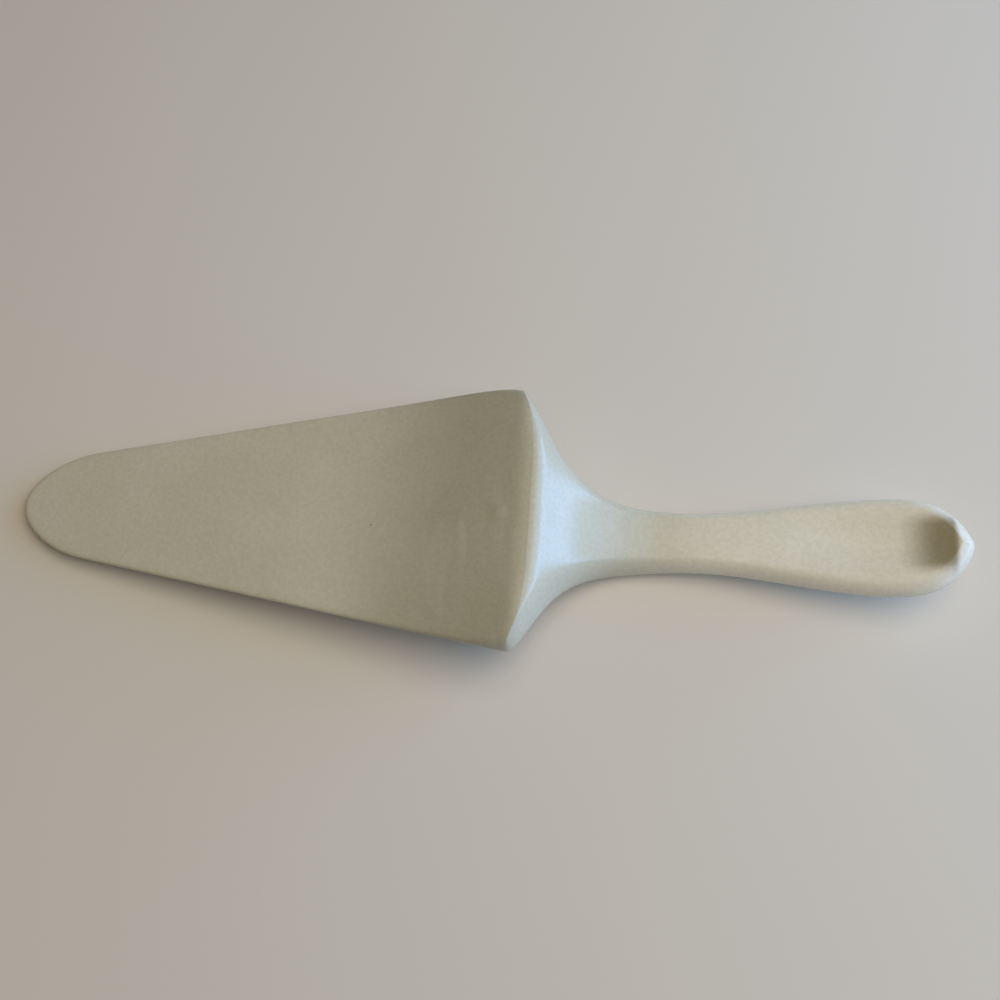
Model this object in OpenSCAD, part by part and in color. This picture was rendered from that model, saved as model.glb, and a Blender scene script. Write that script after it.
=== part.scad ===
// Cake server in glazed porcelain, cast in one piece, lying face down with its underside up.
// The profile is drawn with the blade level: X runs from the tip to the end of the handle, the
// serving face is z = 0 and the underside faces +Z. lying() then lowers it until the tip and the
// neck touch the table at z = 0, with the origin under the middle of the server.

/* [Blade] */
// Distance from the tip to the middle of the heel ridge
blade_length = 145; // [100:0.5:180]
// Width of the blade at its heel corners
heel_width = 76; // [60:0.5:90]
// Width that the straight sides would reach at the tip
tip_width = 24.5; // [18:0.5:32]
// Length of the rounded nose
nose_length = 18.5; // [12:0.5:30]
// Thickness of the flat blade
blade_thickness = 4.4; // [4:0.1:7]

/* [Heel and shoulder] */
// How far the middle of the ridge stands behind the heel corners
ridge_bulge = 6.3; // [0:0.1:9]
// Height of the ridge over the blade's underside
heel_lift = 4.8; // [0:0.1:5]
// Length over which the underside climbs to the ridge
heel_roll = 47.5; // [26:0.5:60]
// How much lower the ridge is at its sides than in its middle
heel_crown = 3.2; // [0:0.1:3.5]
// Length along the part over which the ridge turns over
ridge_turn = 2.4; // [2:0.1:9]
// Length of the sloping shoulder, measured along the part
shoulder_run = 18.5; // [16:0.5:30]
// Step from the blade's underside down to the neck's underside
handle_offset = 15.7; // [8:0.1:24]
// Distance by which the serving side turns down ahead of the ridge
inner_lead = 4; // [0:0.1:5]
// Distance behind the ridge at which the flaring sides are as wide as the heel
flare_start = -2.9; // [-4:0.1:3]
// Length in which the flare narrows to about a third
flare_length = 9; // [5:0.1:14]
// Size of the rounding at the heel corners
corner_round = 7.5; // [1:0.1:8]

/* [Neck and handle] */
// Distance from the ridge to the narrowest place of the neck
neck_distance = 39; // [36:0.5:60]
// Width of the neck
neck_width = 17.2; // [14:0.2:24]
// Thickness of the neck
neck_thickness = 8.5; // [6:0.1:12]
// Distance from the neck to the widest place of the handle
handle_length = 55.5; // [40:0.5:80]
// Greatest width of the handle
handle_width = 28.4; // [22:0.2:36]
// Thickness of the handle where it bows
handle_thickness = 7; // [6:0.1:12]
// Distance from the neck to the lowest place of the handle's bow
bow_distance = 54; // [30:0.5:58]
// Depth of the handle's bow below the neck
handle_bow = 0.4; // [0:0.1:4]
// Distance from the widest place to the end point
end_length = 20.5; // [14:0.5:30]
// Thickness at the end of the handle
end_thickness = 8.4; // [5:0.1:9]
// Height of the end over the lowest place of the bow
end_rise = 3; // [0:0.1:8]
// How much lower the handle's underside is at its sides than on its middle line
handle_crown = 0.6; // [0:0.1:2]

/* [Dish in the handle end] */
// Depth of the thumb dish
dish_depth = 2.4; // [0:0.1:3]
// Distance from the end point to the deepest place of the dish
dish_setback = 18.5; // [18:0.5:30]
// Distance from the deepest place to the rim at the end
dish_length = 13.5; // [10:0.5:15]
// Width of the dish between its side rims
dish_width = 19; // [12:0.5:21]
// Length over which the dish sinks in from the handle
dish_lead = 38; // [12:0.5:40]

/* [Edges] */
// How far in from the outline the blade's underside starts to round off
blade_edge = 1.3; // [0.8:0.1:2.4]
// How far in from the outline the blade's serving face starts to round off
serving_edge = 2; // [1:0.1:2.4]
// How far in from the outline the handle starts to round off
handle_edge = 2.6; // [1:0.1:3]
// The same at the end of the handle
end_edge = 4.2; // [2:0.1:6]
// How far ahead of the heel corners the edges start to change to the handle's
edge_lead = 8; // [0:0.5:12]
// Share of the thickness at which the blade's outline lies below the underside
blade_level = 0.27; // [0.2:0.01:0.7]
// Share of the thickness at which the handle's outline lies below the underside
handle_level = 0.58; // [0.3:0.01:0.7]

/* [Pip] */
// Diameter of the small pip on the underside
pip_diameter = 4.4; // [2:0.1:4.8]
// Height of the pip
pip_height = 0.6; // [0.2:0.1:1]
// Distance from the line of the heel corners to the pip
pip_setback = 3.5; // [2.5:0.5:20]
// Distance from the middle of the blade to the pip
pip_offset = -1.8; // [-10:0.1:10]

/* [Hidden] */

// Shape of the end point: how long the sides stay full, and how bluntly they meet
end_fullness = 2.6;
end_bluntness = 0.72;

// How steeply the dish's floor turns up to its rim
dish_fullness = 2.5;

// How squarely the ridge runs before it curves off to the heel corners, in plan and in height
ridge_power = 5;
crown_power = 4;

// Half lengths of the curves that join the straight stretches of the two profiles
heel_curve = 20;
foot_curve = 15;
inner_heel_curve = 6;
inner_foot_curve = 12;
bow_curve = 10;

// Places along the part
ridge_x = blade_length;
roll_x = ridge_x - heel_roll - heel_curve;
heel_x = ridge_x - ridge_bulge;
foot_x = ridge_x + shoulder_run;
neck_x = ridge_x + neck_distance;
bow_x = neck_x + bow_distance;
widest_x = neck_x + handle_length;
end_x = widest_x + end_length;
dish_x = end_x - dish_setback;

// Heights of the underside at the neck and at the bow
neck_z = blade_thickness - handle_offset;
bow_z = neck_z - handle_bow;

// Grade points of the two long profiles: place, height, half length of the curve there
underside_grades = [
    [0, blade_thickness, 0],
    [ridge_x - heel_roll, blade_thickness, heel_curve],
    [ridge_x, blade_thickness + heel_lift, ridge_turn / 2],
    [foot_x, neck_z, foot_curve],
    [bow_x, bow_z, bow_curve],
    [end_x, bow_z + end_rise, 0]
];
serving_grades = [
    [0, 0, 0],
    [ridge_x - inner_lead, 0, inner_heel_curve],
    [foot_x - inner_lead, neck_z - neck_thickness, inner_foot_curve],
    [bow_x, bow_z - handle_thickness, bow_curve],
    [end_x, bow_z + end_rise - end_thickness, 0]
];

// Sections cut along the part, and points round each section
nose_steps = 12;
side_steps = 4;
roll_steps = 9;
shoulder_steps = 22;
handle_steps = 14;
end_steps = 14;
arc_steps = 4;
column_steps = 10;
pip_facets = 48;
// Crowds the shoulder's sections towards the heel
heel_crowding = 1.25;
// Share of the way to the middle line that an edge may round off
edge_share = 0.8;

// Keeps a division away from zero
tiny = 0.001;

function clamp01(t) = min(max(t, 0), 1);
function ease(t) = let (c = clamp01(t)) c * c * (3 - 2 * c);
function soft_min(a, b, blend) = (a + b - sqrt((a - b) * (a - b) + blend * blend)) / 2;
function unit(v) = v / norm(v);

// Height of a profile at x: straight grades joined by parabolas, as on a road
function rise(p, i) = (p[i + 1][1] - p[i][1]) / (p[i + 1][0] - p[i][0]);
function bend(p, i, x) =
    let (half = p[i][2], past = x - p[i][0] + half, change = rise(p, i) - rise(p, i - 1))
    past <= 0 ? 0
    : past < 2 * half ? change * past * past / (4 * half)
    : change * (past - half);
function sum(list, i = 0) = i >= len(list) ? 0 : list[i] + sum(list, i + 1);
function grade(p, x) =
    p[0][1] + rise(p, 0) * (x - p[0][0]) + sum([for (i = [1:len(p) - 2]) bend(p, i, x)]);

// Half width of the outline at x
function nose(x) = x < nose_length ? sqrt(1 - pow(1 - x / nose_length, 2)) : 1;
function blade_half(x) = nose(x) * (tip_width + (heel_width - tip_width) * x / heel_x) / 2;
function flare(x) = (heel_width - neck_width) / 2 * exp((ridge_x + flare_start - x) / flare_length);
function swell(x) = (handle_width - neck_width) / 2 * ease((x - neck_x) / handle_length);
function end_taper(x) =
    pow(1 - pow(clamp01((x - widest_x) / end_length), end_fullness), end_bluntness);
function handle_half(x) = (neck_width / 2 + flare(x) + swell(x)) * end_taper(x);
function half_width(x) = soft_min(blade_half(x), handle_half(x), corner_round * end_taper(x) * nose(x));

// The ridge bows towards the handle, so each profile reaches further at the sides
function along(x, y) = x + ridge_bulge * pow(abs(2 * y / heel_width), ridge_power);

// Thumb dish: sinks in along the handle, runs out softly at its sides and ends in an oval rim
function dish(x, y) =
    let (
        open = max(1 - pow(2 * y / dish_width, 2), tiny),
        ahead = max(x - dish_x, 0) / dish_length / sqrt(open),
        sink = ease((x - dish_x + dish_lead) / dish_lead)
    )
    dish_depth * open * open * max(1 - pow(ahead, dish_fullness), 0) * sink;

// Across the heel and the handle the underside is slightly round, u being the share of the half width
function crown(x, u) =
    let (heel = ease((x - roll_x) / (ridge_x - roll_x)), grip = ease((x - ridge_x) / neck_distance))
    heel_crown * heel * (1 - grip) * pow(abs(u), crown_power) + handle_crown * grip * u * u;
function underside(x, y, u) = grade(underside_grades, along(x, y)) - dish(x, y) - crown(x, u);
function serving(x, y) = grade(serving_grades, along(x, y));

// The edges change from the blade's form to the handle's along the shoulder
function by_shoulder(x, ahead, behind) =
    ahead + (behind - ahead) * ease((x - heel_x + edge_lead) / shoulder_run);
function edge_width(x, blade_side) =
    by_shoulder(x, blade_side, handle_edge)
    + (end_edge - handle_edge) * ease((x - widest_x) / end_length);
function outline_z(x, y) =
    let (high = underside(x, y, 1))
    high + (serving(x, y) - high) * by_shoulder(x, blade_level, handle_level);

// Stations along the part, close together at the nose and at the end point
stations = concat(
    [for (i = [0:nose_steps]) nose_length * (1 - cos(90 * i / nose_steps))],
    [for (i = [1:side_steps]) nose_length + (roll_x - nose_length) * i / side_steps],
    [for (i = [1:roll_steps]) roll_x + (heel_x - roll_x) * i / roll_steps],
    [for (i = [1:shoulder_steps]) heel_x + (neck_x - heel_x) * pow(i / shoulder_steps, heel_crowding)],
    [for (i = [1:handle_steps]) neck_x + handle_length * i / handle_steps],
    [for (i = [1:end_steps]) widest_x + end_length * sin(90 * i / end_steps)]
);
heel_station = nose_steps + side_steps + roll_steps;
neck_station = heel_station + shoulder_steps;
last_station = len(stations) - 1;

// Outline, and the way in from it at each station; the two cuts between regions are square
outline = [for (x = stations) [x, half_width(x)]];
function is_end(i) = i == 0 || i == last_station;
function is_cut(i) = i == heel_station || i == neck_station;
function inward(i) =
    i == 0 ? [1, 0]
    : i == last_station ? [inward(i - 1)[0], 0]
    : is_cut(i) ? [0, -1]
    : let (way = unit(outline[i + 1] - outline[i - 1])) [way[1], -way[0]];
ways_in = [for (i = [0:last_station]) inward(i)];

// Points round one section: which side, how far across, and how far round the edge
ring_spec = concat(
    [for (k = [0:arc_steps]) [1, 1, k]],
    [for (c = [1:column_steps - 1]) [1, 1 - 2 * c / column_steps, arc_steps]],
    [for (k = [arc_steps:-1:0]) [1, -1, k]],
    [for (k = [1:arc_steps]) [-1, -1, k]],
    [for (c = [1:column_steps - 1]) [-1, 2 * c / column_steps - 1, arc_steps]],
    [for (k = [arc_steps:-1:1]) [-1, 1, k]]
);
ring_size = len(ring_spec);
end_spec = concat(
    [for (k = [0:arc_steps]) [1, 1, k]],
    [for (k = [1:arc_steps]) [-1, 1, k]]
);
end_size = len(end_spec);

function place(i, spec) =
    let (
        turn = 90 * spec[2] / arc_steps,
        edge = edge_width(outline[i][0], spec[0] > 0 ? blade_edge : serving_edge),
        inset = outline[i] + ways_in[i] * edge * (1 - cos(turn)),
        plan = [inset[0], max(inset[1], (1 - edge_share) * outline[i][1])],
        across = spec[1] * plan[1],
        reach = outline[i][1] > 0 ? across / outline[i][1] : 0,
        high = underside(plan[0], across, reach),
        low = serving(plan[0], across),
        edge_z = outline_z(outline[i][0], outline[i][1])
    )
    [plan[0], across, edge_z + ((spec[0] > 0 ? high : low) - edge_z) * sin(turn)];

// One region of the server: the sections from one station to another, closed at both ends
module region(first, last) {
    rings = [for (i = [first:last]) [for (spec = is_end(i) ? end_spec : ring_spec) place(i, spec)]];
    starts = [for (i = [first:last])
        (i - first) * ring_size - (is_end(first) && i > first ? ring_size - end_size : 0)];
    function corner(i, j) =
        let (spec = ring_spec[j % ring_size])
        starts[i - first] + (is_end(i) ? spec[2] + (spec[0] < 0 ? arc_steps : 0) : j % ring_size);
    sides = [for (i = [first:last - 1], j = [0:ring_size - 1])
        each [
            [corner(i, j), corner(i + 1, j), corner(i, j + 1)],
            [corner(i, j + 1), corner(i + 1, j), corner(i + 1, j + 1)]
        ]];
    skin = [for (f = sides) if (f[0] != f[1] && f[1] != f[2] && f[2] != f[0]) f];
    front = is_end(first) ? [] : [[for (j = [0:ring_size - 1]) corner(first, j)]];
    back = is_end(last) ? [] : [[for (j = [ring_size - 1:-1:0]) corner(last, j)]];
    polyhedron([for (ring = rings) each ring], concat(skin, front, back), convexity = 4);
}

// Lying face down: the tip and the lowest place of the neck both touch the table
rest_tilt = max([for (x = stations) if (x > foot_x) atan2(-serving(x, 0), x - serving_edge)]);
function lying_x(x, z) = (x - serving_edge) * cos(rest_tilt) - z * sin(rest_tilt);
middle_x = (lying_x(0, outline_z(0, 0)) + lying_x(end_x, outline_z(end_x, 0))) / 2;
module lying() {
    translate([-middle_x, 0, 0]) rotate([0, -rest_tilt, 0]) translate([-serving_edge, 0, 0]) children();
}

// Flat triangular blade with a round nose, and the small pip near its heel
module blade() {
    pip_ball = (pip_diameter * pip_diameter / 4 + pip_height * pip_height) / (2 * pip_height);
    pip_root = blade_thickness / 2;
    pip_x = heel_x - pip_setback;
    pip_z = underside(pip_x, pip_offset, 0);
    pip_lean = atan(heel_lift / heel_roll);
    color([0.93, 0.92, 0.86]) lying() union() {
        region(0, heel_station);
        translate([pip_x, pip_offset, pip_z]) rotate([0, -pip_lean, 0]) intersection() {
            translate([0, 0, pip_height - pip_ball]) sphere(pip_ball, $fn = pip_facets);
            translate([0, 0, -pip_root])
                cylinder(pip_root + pip_height, d = pip_diameter, $fn = pip_facets);
        }
    }
}

// Heel ridge and the hollow shoulder that falls from it to the neck
module shoulder() {
    color([0.90, 0.93, 0.95]) lying() region(heel_station, neck_station);
}

// Handle, swelling to a blunt point with a thumb dish in its underside
module handle() {
    color([0.95, 0.94, 0.89]) lying() region(neck_station, last_station);
}

blade();
shoulder();
handle();
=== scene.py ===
import bmesh
import bpy
from math import atan2, cos, exp, hypot, radians, sin, sqrt
from mathutils import Matrix, Vector


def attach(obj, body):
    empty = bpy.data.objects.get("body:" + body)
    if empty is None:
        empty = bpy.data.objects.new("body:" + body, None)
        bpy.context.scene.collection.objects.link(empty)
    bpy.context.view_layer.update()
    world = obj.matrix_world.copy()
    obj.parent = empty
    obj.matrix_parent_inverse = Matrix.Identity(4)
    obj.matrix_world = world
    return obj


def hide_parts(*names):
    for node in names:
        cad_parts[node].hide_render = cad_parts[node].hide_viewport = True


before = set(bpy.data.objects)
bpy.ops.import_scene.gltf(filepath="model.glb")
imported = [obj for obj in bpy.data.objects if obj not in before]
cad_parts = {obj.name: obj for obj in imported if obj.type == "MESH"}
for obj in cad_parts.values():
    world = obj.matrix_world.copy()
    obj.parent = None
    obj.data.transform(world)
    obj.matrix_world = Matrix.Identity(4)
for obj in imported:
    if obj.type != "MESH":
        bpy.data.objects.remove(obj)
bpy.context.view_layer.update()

# Server body. One porcelain casting: slip cast in a mould, its seams fettled off, glazed all over and
# fired. Blade, heel ridge, hollow shoulder, neck and handle are one piece of clay without a joint, so
# one mesh stands for the three CAD regions. Its sizes are millimetres, drawn with the blade level.
MM = 0.001
blade_length = 145
heel_width = 76
tip_width = 24.5
nose_length = 18.5
blade_thickness = 4.4
ridge_bulge = 6.3
ridge_power = 5
heel_lift = 4.8
heel_roll = 47.5
ridge_turn = 2.4
shoulder_run = 18.5
handle_offset = 15.7
inner_lead = 4
flare_start = -2.9
flare_length = 9
corner_round = 7.5
neck_distance = 39
neck_width = 17.2
neck_thickness = 8.5
handle_length = 55.5
handle_width = 28.4
handle_thickness = 7
bow_distance = 54
handle_bow = 0.4
end_length = 20.5
end_thickness = 8.4
end_rise = 3
end_fullness = 2.6
end_bluntness = 0.72
blade_edge = 1.1
serving_edge = 2
handle_edge = 2.4
end_edge = 4
edge_lead = 8
blade_level = 0.27
handle_level = 0.58

ridge_x = blade_length
heel_x = ridge_x - ridge_bulge
foot_x = ridge_x + shoulder_run
neck_x = ridge_x + neck_distance
bow_x = neck_x + bow_distance
widest_x = neck_x + handle_length
end_x = widest_x + end_length
neck_z = blade_thickness - handle_offset
bow_z = neck_z - handle_bow

# Half lengths of the curves that join the straight stretches of the two long profiles
heel_curve = 20
foot_curve = 15
inner_heel_curve = 6
inner_foot_curve = 12
bow_curve = 10
roll_x = ridge_x - heel_roll - heel_curve

# The two long profiles as grade points: place, height, half length of the curve there
underside_grades = (
    (0, blade_thickness, 0),
    (ridge_x - heel_roll, blade_thickness, heel_curve),
    (ridge_x, blade_thickness + heel_lift, ridge_turn / 2),
    (foot_x, neck_z, foot_curve),
    (bow_x, bow_z, bow_curve),
    (end_x, bow_z + end_rise, 0),
)
serving_grades = (
    (0, 0, 0),
    (ridge_x - inner_lead, 0, inner_heel_curve),
    (foot_x - inner_lead, neck_z - neck_thickness, inner_foot_curve),
    (bow_x, bow_z - handle_thickness, bow_curve),
    (end_x, bow_z + end_rise - end_thickness, 0),
)


def rise(points, i):
    """Slope of the straight grade that follows a grade point."""
    (x0, z0, _), (x1, z1, _) = points[i : i + 2]
    return (z1 - z0) / (x1 - x0)


def grade(points, x):
    """Height of a long profile: straight grades joined by parabolas."""
    z = points[0][1] + rise(points, 0) * (x - points[0][0])
    for i in range(1, len(points) - 1):
        half = points[i][2]
        past = x - points[i][0] + half
        change = rise(points, i) - rise(points, i - 1)
        if 0 < past < 2 * half:
            z += change * past * past / (4 * half)
        elif past > 0:
            z += change * (past - half)
    return z


def clamp01(t):
    """The value, kept between nought and one."""
    return min(max(t, 0.0), 1.0)


def ease(t):
    """Smooth step from nought to one."""
    return clamp01(t) ** 2 * (3 - 2 * clamp01(t))


def half_width(x):
    """Half width of the server's outline, seen square to the blade."""
    nose = sqrt(max(1 - (1 - x / nose_length) ** 2, 0)) if x < nose_length else 1
    blade = nose * (tip_width + (heel_width - tip_width) * x / heel_x) / 2
    taper = (1 - clamp01((x - widest_x) / end_length) ** end_fullness) ** end_bluntness
    flare = (heel_width - neck_width) / 2 * exp((ridge_x + flare_start - x) / flare_length)
    swell = (handle_width - neck_width) / 2 * ease((x - neck_x) / handle_length)
    handle = (neck_width / 2 + flare + swell) * taper
    blend = corner_round * taper * nose
    return (blade + handle - sqrt((blade - handle) ** 2 + blend ** 2)) / 2


def heel_bow(y):
    """How far the sections bow towards the tip, y off the middle."""
    return ridge_bulge * abs(2 * y / heel_width) ** ridge_power


# Enough halvings of the heel's width to reach a hair's breadth
HALVINGS = 40


def outline_at(x):
    """Half width where a section that starts at x on the middle line meets the outline."""
    low, high = 0.0, heel_width / 2
    for _ in range(HALVINGS):
        y = (low + high) / 2
        if y < half_width(x - heel_bow(y)):
            low = y
        else:
            high = y
    return low


# Stations along the server, close together at the nose, behind the heel and at the end point
nose_steps = 12
side_steps = 8
roll_steps = 12
shoulder_steps = 32
handle_steps = 14
end_steps = 14
heel_crowding = 1.25


def shares(steps):
    """Even shares of a stretch, without its start."""
    return [i / steps for i in range(1, steps + 1)]


stations = [0.0] + [nose_length * (1 - cos(radians(90 * s))) for s in shares(nose_steps)]
stations += [nose_length + (roll_x - nose_length) * s for s in shares(side_steps)]
stations += [roll_x + (heel_x - roll_x) * s for s in shares(roll_steps)]
stations += [heel_x + (neck_x - heel_x) * s ** heel_crowding for s in shares(shoulder_steps)]
stations += [neck_x + handle_length * s for s in shares(handle_steps)]
stations += [widest_x + end_length * sin(radians(90 * s)) for s in shares(end_steps)]
outline = [(x, outline_at(x)) for x in stations]
outline[0] = (0.0, 0.0)
outline[-1] = (end_x, 0.0)

# A half bar with a round long edge, to be mirrored: one edge ring for each station
blank_flat = 10
blank_thickness = 5
blank_round = blank_thickness / 2
column_count = 8
WELD = 0.01 * MM


def pick(test, kind="verts"):
    """Selects the verts, edges or faces of the mesh in hand that pass a test."""
    bpy.ops.mesh.select_all(action="DESELECT")
    hand = bmesh.from_edit_mesh(bpy.context.object.data)
    hand.normal_update()
    for part in getattr(hand, kind):
        if test(part):
            part.select_set(True)
    bmesh.update_edit_mesh(bpy.context.object.data)


def runs_along(edge, axis):
    """Whether an edge lies along an axis."""
    way = edge.verts[1].co - edge.verts[0].co
    return abs(way[axis]) > 0.99 * way.length


bpy.ops.object.select_all(action="DESELECT")
bpy.ops.mesh.primitive_cube_add(size=1)
server = bpy.context.object
server.name = server.data.name = "porcelain_server"
bpy.ops.object.mode_set(mode="EDIT")
bpy.ops.transform.translate(value=(0.5, 0.5, 0))
blank_size = (end_x * MM, (blank_flat + blank_round) * MM, blank_thickness * MM)
bpy.ops.transform.resize(value=blank_size, center_override=(0, 0, 0))
bpy.ops.mesh.select_mode(type="EDGE")
pick(lambda e: runs_along(e, 0) and e.verts[0].co.y > MM, "edges")
bpy.ops.mesh.bevel(offset=blank_round * MM, segments=2, affect="EDGES")
bpy.ops.mesh.select_all(action="SELECT")
bpy.ops.mesh.remove_doubles(threshold=WELD)
bpy.ops.mesh.select_mode(type="FACE")
pick(lambda f: abs(f.normal.x) > 0.9 or f.normal.y < -0.9, "faces")
bpy.ops.mesh.delete(type="FACE")
bpy.ops.mesh.select_mode(type="EDGE")
pick(lambda e: runs_along(e, 1), "edges")
bpy.ops.mesh.subdivide(number_cuts=column_count - 1)
pick(lambda e: runs_along(e, 0), "edges")
bpy.ops.mesh.subdivide(number_cuts=len(stations) - 2)
bpy.ops.mesh.select_mode(type="VERT")

# Which ring each point is in, and whether it is on the round edge, where that starts, or below
CLOSE = 0.1
blank_pitch = end_x * MM / (len(stations) - 1)
blank = bmesh.from_edit_mesh(server.data)
ring_of = [round(v.co.x / blank_pitch) for v in blank.verts]
on_edge = [v.co.y > (blank_flat + CLOSE) * MM for v in blank.verts]
on_corner = [abs(v.co.y / MM - blank_flat) < CLOSE and v.co.z > 0 for v in blank.verts]
below = [v.co.z < -CLOSE * MM for v in blank.verts]

# Share of the way to the middle line that an edge may round off
EDGE_SHARE = 0.8


def by_shoulder(x, ahead, behind):
    """A value that changes from the blade's to the handle's along the shoulder."""
    return ahead + (behind - ahead) * ease((x - heel_x + edge_lead) / shoulder_run)


# What the smoothing takes off the rim: shares of the edge's width and of its level
WIDTH_LOSS = 0.054
LEVEL_LOSS = 0.118

for i, (x, w) in enumerate(outline):
    # The way in from the outline, square to it
    if i == 0:
        inward = (1.0, 0.0)
    elif i == len(outline) - 1:
        inward = (inward[0], 0.0)
    else:
        (xa, wa), (xb, wb) = outline[i - 1], outline[i + 1]
        run = hypot(xb - xa, wb - wa)
        inward = ((wb - wa) / run, (xa - xb) / run)

    # How far in the edge starts, on the serving side and on the underside
    end_extra = (end_edge - handle_edge) * ease((x - widest_x) / end_length)
    edge = by_shoulder(x, serving_edge, handle_edge) + end_extra
    upper_share = (by_shoulder(x, blade_edge, handle_edge) + end_extra) / edge
    flat_x = x + inward[0] * edge
    flat_y = max(w + inward[1] * edge, (1 - EDGE_SHARE) * w)
    edge = hypot(flat_x - x, flat_y - w)
    upper_edge = edge * upper_share
    inward = ((flat_x - x) / edge, (flat_y - w) / edge)

    # Heights of the section there, and of its outline
    top = grade(underside_grades, flat_x)
    bottom = grade(serving_grades, flat_x)
    edge_lift = (grade(underside_grades, x) + grade(serving_grades, x) - top - bottom) / 2
    corner_lift = grade(underside_grades, x + inward[0] * upper_edge) - top - edge_lift
    level = (by_shoulder(x, blade_level, handle_level) - LEVEL_LOSS) / (1 - 2 * LEVEL_LOSS)

    # The ring is drawn out to its section: thickness, round edge, width, and then its place
    here = (i * blank_pitch, 0, 0)
    ring = {k for k, place in enumerate(ring_of) if place == i}
    rim = {k for k in ring if on_edge[k]}
    corner = {k for k in ring if on_corner[k]}
    under = {k for k in rim if below[k]}
    half = (top - bottom) / 2 * MM
    pivot = (here[0], blank_flat * MM, 0)
    reach = edge + WIDTH_LOSS * (edge + upper_edge)
    widest = (here[0], (blank_flat + reach) * MM, half)
    pick(lambda v: v.index in ring)
    bpy.ops.transform.resize(value=(1, 1, (top - bottom) / blank_thickness), center_override=here)
    pick(lambda v: v.index in rim)
    bpy.ops.transform.resize(value=(1, reach / blank_round, 1), center_override=pivot)
    pick(lambda v: v.index in under)
    bpy.ops.transform.resize(value=(1, 1, 2 - 2 * level), center_override=(here[0], 0, -half))
    pick(lambda v: v.index in rim - under or v.index in corner)
    bpy.ops.transform.resize(value=(1, upper_edge / edge, 2 * level), center_override=widest)
    pick(lambda v: v.index in rim or v.index in corner)
    turn = atan2(inward[0], -inward[1])
    bpy.ops.transform.rotate(value=-turn, orient_axis="Z", center_override=pivot)
    bpy.ops.transform.translate(value=(0, (flat_y - blank_flat) * MM, edge_lift * MM))
    pick(lambda v: v.index in corner)
    bpy.ops.transform.translate(value=(0, 0, corner_lift * MM))
    pick(lambda v: v.index in ring and v.index not in rim and v.index not in corner)
    bpy.ops.transform.resize(value=(1, flat_y / blank_flat, 1), center_override=here)
    pick(lambda v: v.index in ring)
    bpy.ops.transform.translate(value=(flat_x * MM - here[0], 0, (top + bottom) / 2 * MM))
bpy.ops.object.mode_set(mode="OBJECT")


def finish_with(kind, **settings):
    """Adds a modifier to the piece in hand, sets it and applies it."""
    bpy.ops.object.modifier_add(type=kind)
    modifier = bpy.context.object.modifiers[-1]
    for name, value in settings.items():
        setattr(modifier, name, value)
    bpy.ops.object.modifier_apply(modifier=modifier.name)


def close_up():
    """Welds the points that fell together and turns the faces outwards."""
    bpy.ops.object.mode_set(mode="EDIT")
    bpy.ops.mesh.select_all(action="SELECT")
    bpy.ops.mesh.remove_doubles(threshold=WELD)
    bpy.ops.mesh.normals_make_consistent(inside=False)
    bpy.ops.object.mode_set(mode="OBJECT")


def push(name, weigh, direction, strength):
    """Moves the piece's points along one direction, each by its weight."""
    group = bpy.context.object.vertex_groups.new(name=name)
    for v in bpy.context.object.data.vertices:
        weight = weigh(v)
        if weight > 0:
            group.add([v.index], weight, "REPLACE")
    finish_with(
        "DISPLACE", direction=direction, strength=strength, mid_level=0, vertex_group=name
    )


finish_with("MIRROR", use_axis=(False, True, False), merge_threshold=WELD)
close_up()
push("heel_bow", lambda v: heel_bow(v.co.y / MM) / ridge_bulge, "X", -ridge_bulge * MM)
finish_with("SUBSURF", levels=1, render_levels=1)

# Across the heel and the handle the underside is slightly round, and the handle's end has a thumb
# dish with an oval rim
heel_crown = 3.2
crown_power = 4
handle_crown = 0.6
dish_depth = 2.4
dish_setback = 18.5
dish_x = end_x - dish_setback
dish_length = 13.5
dish_width = 19
dish_lead = 38
dish_fullness = 2.5
# Keeps a division away from zero
TINY = 0.001


def faces_up(v):
    """One on the underside, which faces up here, and nothing from the middle of the edges down."""
    return clamp01(2 * v.normal.z)


def crown(v):
    """Share of the heel's full drop by which a point lies lower than the middle line."""
    x, y, z = v.co / MM
    bowed_x = x + heel_bow(y)
    low, high = grade(serving_grades, bowed_x), grade(underside_grades, bowed_x)
    across = min(abs(y) / max(half_width(x), 1), 1)
    heel = ease((x - roll_x) / (ridge_x - roll_x))
    grip = ease((x - ridge_x) / neck_distance)
    drop = heel_crown * heel * (1 - grip) * across ** crown_power + handle_crown * grip * across ** 2
    return clamp01((z - low) / (high - low)) * drop / heel_crown


def dish(v):
    """Share of the dish's depth at a point."""
    x, y = v.co.x / MM, v.co.y / MM
    open_share = max(1 - (2 * y / dish_width) ** 2, TINY)
    ahead = max(x - dish_x, 0) / dish_length / sqrt(open_share)
    sink = ease((x - dish_x + dish_lead) / dish_lead)
    return faces_up(v) * open_share ** 2 * max(1 - ahead ** dish_fullness, 0) * sink


push("crown", crown, "Z", -heel_crown * MM)
push("thumb_dish", dish, "Z", -dish_depth * MM)
finish_with("SUBSURF", levels=1, render_levels=1)

# A small, soft pip stands on the underside near the heel, a little off the middle
pip_setback = 3.4
pip_x = heel_x - pip_setback
pip_y = -1.8
pip_radius = 3.2
pip_height = 0.4


def pip(v):
    """Share of the pip's height at a point."""
    spread = hypot(v.co.x / MM - pip_x, v.co.y / MM - pip_y) / pip_radius
    return faces_up(v) * (1 - spread * spread) ** 2 if spread < 1 else 0


push("pip", pip, "Z", pip_height * MM)

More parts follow.
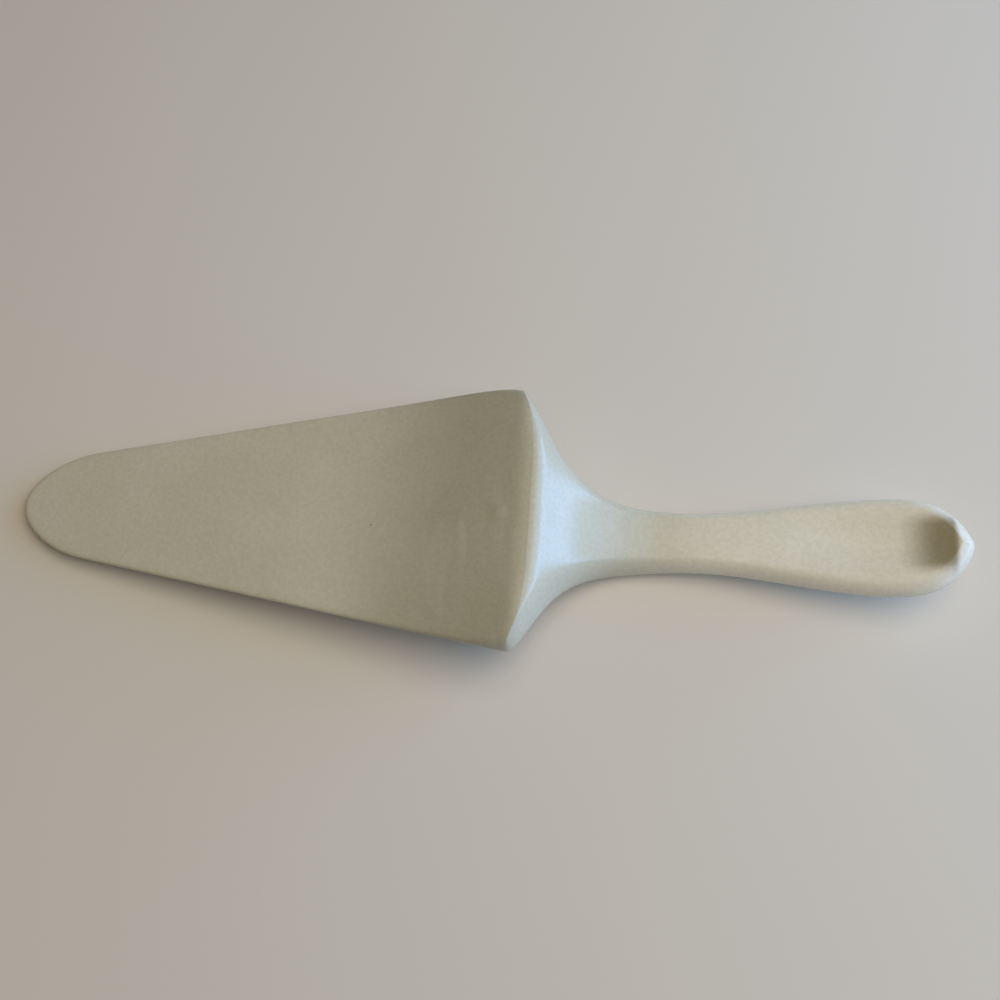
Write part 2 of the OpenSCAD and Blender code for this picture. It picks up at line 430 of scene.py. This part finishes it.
# Lying face down, turned in degrees and moved in millimetres as in the CAD: tip and neck touch the
# table, with the origin under the middle
rest_tilt = 6.66789
middle_x = 127.75
bpy.ops.object.mode_set(mode="EDIT")
bpy.ops.mesh.select_all(action="SELECT")
bpy.ops.transform.translate(value=(-serving_edge * MM, 0, 0))
bpy.ops.transform.rotate(value=radians(rest_tilt), orient_axis="Y", center_override=(0, 0, 0))
bpy.ops.transform.translate(value=(-middle_x * MM, 0, 0))
bpy.ops.object.mode_set(mode="OBJECT")
bpy.ops.object.shade_smooth()
server.vertex_groups.clear()


def srgb(code):
    """Linear colour of an sRGB hex value."""
    parts = [int(code[i : i + 2], 16) / 255 for i in (1, 3, 5)]
    return [c / 12.92 if c <= 0.04045 else ((c + 0.055) / 1.055) ** 2.4 for c in parts] + [1.0]


def add_node(material, kind, links=None, **settings):
    """One node: its properties by name, its inputs by number or name as values or as other outputs."""
    node = material.node_tree.nodes.new(kind)
    for name, value in settings.items():
        setattr(node, name, value)
    for socket, value in (links or {}).items():
        if isinstance(value, bpy.types.NodeSocket):
            material.node_tree.links.new(value, node.inputs[socket])
        else:
            node.inputs[socket].default_value = value
    return node


# Ivory glaze: a glossy skin over a fine, slightly uneven body. The eye gets a soft cloudiness, a grain
# of about a millimetre, a few iron specks, faint lighter streaks along the heel, and soft reflections
# that waver a little. Painted shade darkens the blade against the handle, the blade before the ridge,
# and the thumb dish.
glaze = bpy.data.materials.new("ivory_glazed_porcelain")
glaze.use_nodes = True
shader = glaze.node_tree.nodes["Principled BSDF"]
where = add_node(glaze, "ShaderNodeTexCoord").outputs["Object"]
run_x, run_y, run_z = add_node(glaze, "ShaderNodeSeparateXYZ", {"Vector": where}).outputs


def blend(kind, factor, first, second):
    """Colour mix; the factor and the two colours are values or outputs."""
    colours = {0: factor, 6: first, 7: second}
    return add_node(
        glaze, "ShaderNodeMix", colours, data_type="RGBA", blend_type=kind
    ).outputs[2]


def between(value, low, high, to_low, to_high):
    """Smooth step of a value from one range to another."""
    step = {"Value": value, "From Min": low, "From Max": high, "To Min": to_low, "To Max": to_high}
    return add_node(
        glaze, "ShaderNodeMapRange", step, interpolation_type="SMOOTHSTEP"
    ).outputs["Result"]


def cloud(size, detail, place=where):
    """Noise with features of about the given size in metres."""
    return add_node(
        glaze, "ShaderNodeTexNoise", {"Vector": place, "Scale": 1 / size, "Detail": detail}
    ).outputs["Fac"]


def product(first, second):
    """Two masks, or a mask and a value, multiplied."""
    return add_node(glaze, "ShaderNodeMath", {0: first, 1: second}, operation="MULTIPLY").outputs[0]


# The blade is painted greyer and darker than the handle: painted shade, for the blade lying farther
# from the window light than the handle
towards_handle = between(run_x, 30 * MM, 65 * MM, 0, 1)
tone = blend("MIX", towards_handle, srgb("#D9D8C9"), srgb("#F6F5EA"))

# Painted shade: a broad darker zone that ends at the ridge, for the shade on the blade as it rolls up
# to the heel, and a darker patch in the thumb dish
painted_heel_shade = between(run_x, -48 * MM, -6 * MM, 0, 1)
before_ridge = between(run_x, 6 * MM, 12 * MM, 1, 0)
tone = blend("MIX", product(painted_heel_shade, before_ridge), tone, srgb("#BAB8A8"))
off_middle = add_node(glaze, "ShaderNodeMath", {0: run_y}, operation="ABSOLUTE").outputs[0]
# Painted shade in the thumb dish, for its steep end wall turned away from the window light
dish_shade_start = between(run_x, 109 * MM, 120.5 * MM, 0, 1)
dish_shade_end = between(run_x, 123.5 * MM, 125.5 * MM, 1, 0)
dish_shade_width = between(off_middle, 5 * MM, 9.5 * MM, 1, 0)
dish_shade_above = between(run_z, 13 * MM, 14.5 * MM, 0, 1)
painted_dish_shade = product(product(dish_shade_start, dish_shade_end), product(dish_shade_width, dish_shade_above))
tone = blend("MIX", painted_dish_shade, tone, srgb("#ABA58E"))

# Cloudiness some centimetres wide, and the fine grain of the body under the glaze
cloudy = between(cloud(30 * MM, 2), 0.35, 0.65, 0, 1)
tone = blend("MULTIPLY", cloudy, tone, srgb("#F9F8F6"))
grain = between(cloud(1.1 * MM, 1.5), 0.3, 0.7, 0, 1)
tone = blend("MULTIPLY", grain, tone, srgb("#F7F7F5"))

# Lighter streaks: noise drawn out across the blade, only just before the ridge
drawn_out = add_node(
    glaze, "ShaderNodeMapping", {"Vector": where, "Scale": (1, 0.15, 0.3)}
).outputs["Vector"]
near_heel = between(run_x, -20 * MM, -4 * MM, 0, 1)
bands = between(cloud(6 * MM, 2, drawn_out), 0.5, 0.75, 0, 0.3)
tone = blend("MIX", product(product(bands, near_heel), before_ridge), tone, srgb("#E4E0D2"))

# Iron specks: one in some of the cells of a loose net
speck_pitch = 13 * MM
cells = add_node(glaze, "ShaderNodeTexVoronoi", {"Vector": where, "Scale": 1 / speck_pitch})
chosen = between(cells.outputs["Color"], 0.55, 0.6, 0, 0.55)
dot = between(cells.outputs["Distance"], 0.016, 0.036, 1, 0)
tone = blend("MIX", product(dot, chosen), tone, srgb("#8C8268"))
glaze.node_tree.links.new(tone, shader.inputs["Base Color"])

# Gloss, with a slight unevenness in it and in the surface
gloss = between(cloud(4 * MM, 2), 0.3, 0.7, 0.17, 0.23)
glaze.node_tree.links.new(gloss, shader.inputs["Roughness"])
shader.inputs["IOR"].default_value = 1.5
waver = add_node(
    glaze, "ShaderNodeBump", {"Strength": 0.25, "Distance": 0.1 * MM, "Height": cloud(6 * MM, 1)}
).outputs["Normal"]
glaze.node_tree.links.new(waver, shader.inputs["Normal"])
server.data.materials.append(glaze)

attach(server, "root")
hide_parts("blade", "shoulder", "handle")

# Table. A plain pale sheet of matt paper, 6 m wide, level with the bottom of the server.
bpy.ops.object.select_all(action="DESELECT")
bpy.ops.mesh.primitive_plane_add(size=6, location=(0, 0, 0))
table = bpy.context.object
table.name = "table"
paper = bpy.data.materials.new("matt_paper")
paper.use_nodes = True
paper.node_tree.nodes["Principled BSDF"].inputs["Base Color"].default_value = srgb("#E4E0DA")
paper.node_tree.nodes["Principled BSDF"].inputs["Roughness"].default_value = 0.8
table.data.materials.append(paper)

# Light. A wide, cool window on the right, a bluer strip below it that is screened off the table, a
# warm overhead light that comes off the walls and so leaves no image in the glaze, and a little room
# light.
world = bpy.data.worlds.new("room")
bpy.context.scene.world = world
world.use_nodes = True
world.node_tree.nodes["Background"].inputs["Color"].default_value = srgb("#FFEEDC")
world.node_tree.nodes["Background"].inputs["Strength"].default_value = 0.03
shoulder_place = Vector((30, 0, 10)) * MM


def area_lamp(name, turn, height, distance, size, energy, colour):
    """Soft lamp that looks at the shoulder from a compass turn and a height in degrees."""
    data = bpy.data.lights.new(name, "AREA")
    data.shape = "RECTANGLE"
    data.size, data.size_y = size
    data.energy = energy
    data.color = srgb(colour)[:3]
    lamp = bpy.data.objects.new(name, data)
    bpy.context.collection.objects.link(lamp)
    turn, height = radians(turn), radians(height)
    way = Vector((cos(turn) * cos(height), sin(turn) * cos(height), sin(height)))
    place = Matrix.Translation(shoulder_place + distance * way)
    lamp.matrix_world = place @ way.to_track_quat("Z", "Y").to_matrix().to_4x4()
    return lamp


area_lamp("window", 10, 28, 0.8, (1.1, 0.55), 3.3, "#B0D4FF")
low_window = area_lamp("low_window", 14, 9, 0.8, (1, 0.2), 1.04, "#82BEFF")
low_window.data.spread = radians(90)
ceiling = area_lamp("ceiling", 0, 75, 0.9, (0.9, 0.9), 5.6, "#FFF0D4")
ceiling.visible_glossy = False

# Camera. Looks down on the underside at the photograph's angle.
camera_data = bpy.data.cameras.new("camera")
camera_data.lens = 43.2
camera_data.sensor_width = 36
camera_data.clip_start = 0.01
camera = bpy.data.objects.new("camera", camera_data)
bpy.context.collection.objects.link(camera)
aim = Vector((3.27, 7.4, 10)) * MM
distance = 330.68 * MM
swing, height, roll = radians(4.5), radians(67.79), radians(-0.5)
back = Vector((sin(swing) * cos(height), -cos(swing) * cos(height), sin(height)))
side = Vector((cos(swing), sin(swing), 0))
above = back.cross(side)
right = cos(roll) * side + sin(roll) * above
up = cos(roll) * above - sin(roll) * side
place = aim + back * distance
camera.matrix_world = Matrix(
    [[right[i], up[i], back[i], place[i]] for i in range(3)] + [[0, 0, 0, 1]]
)
bpy.context.scene.camera = camera
bpy.context.scene.view_settings.view_transform = "Standard"
